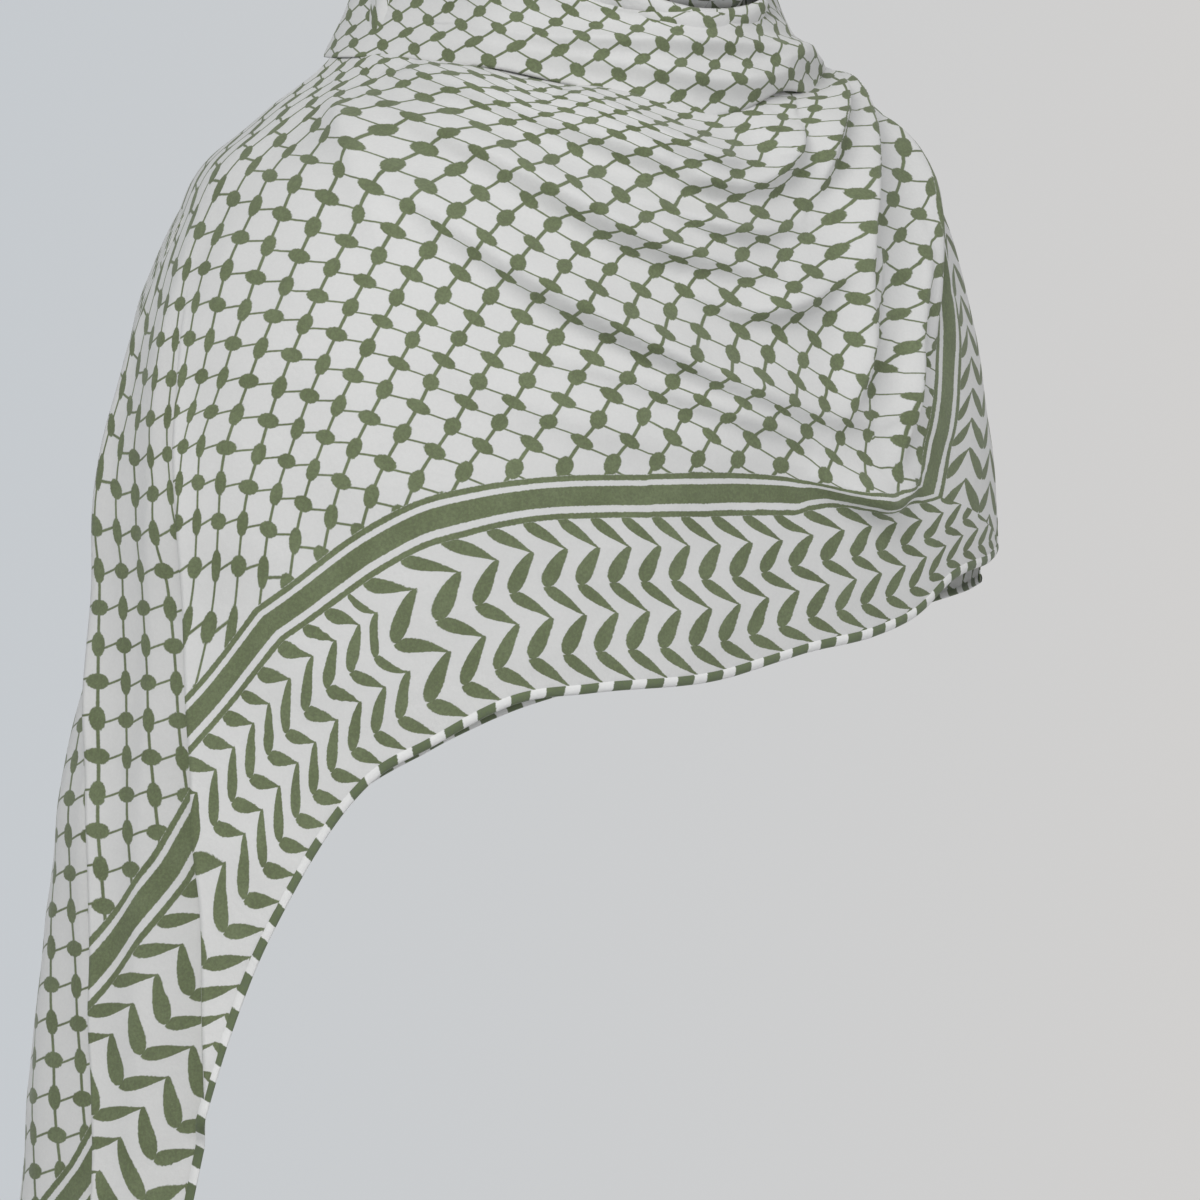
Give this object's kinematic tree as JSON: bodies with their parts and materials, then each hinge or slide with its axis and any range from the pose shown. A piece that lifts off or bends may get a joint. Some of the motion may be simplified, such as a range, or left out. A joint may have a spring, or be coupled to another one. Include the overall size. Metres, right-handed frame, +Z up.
{
  "type": "chiffon hijab",
  "caption": "Chiffon hijab worn over the head, crossed under the chin and draped over the chest, shoulders and one arm, with a woven-style border print.",
  "frame": {"origin": "inside top of the hood, where the wearer's crown carries it", "axes": "+Z up, the wearer faces -Y, +X towards the wearer's left"},
  "size_m": [0.5221, 0.2909, 0.9169],
  "materials": {
    "voile": "sheer white crepe chiffon printed with an olive green knot net and leaf border",
    "hem": "narrow rolled hem of the same printed chiffon"
  },
  "bodies": {
    "root": {"hood": "voile", "face_hem": "hem", "throat_wrap": "voile", "throat_hem": "hem", "chin_swag": "voile", "ear_gather": "voile", "gather_hem": "hem", "chest_panel": "voile", "chest_hem": "hem", "shoulder_tail": "voile", "corner_hem": "hem", "end_hem": "hem", "arm_drape": "voile", "arm_hem": "hem", "back_drape": "voile", "back_hem": "hem"}
  },
  "joints": []
}
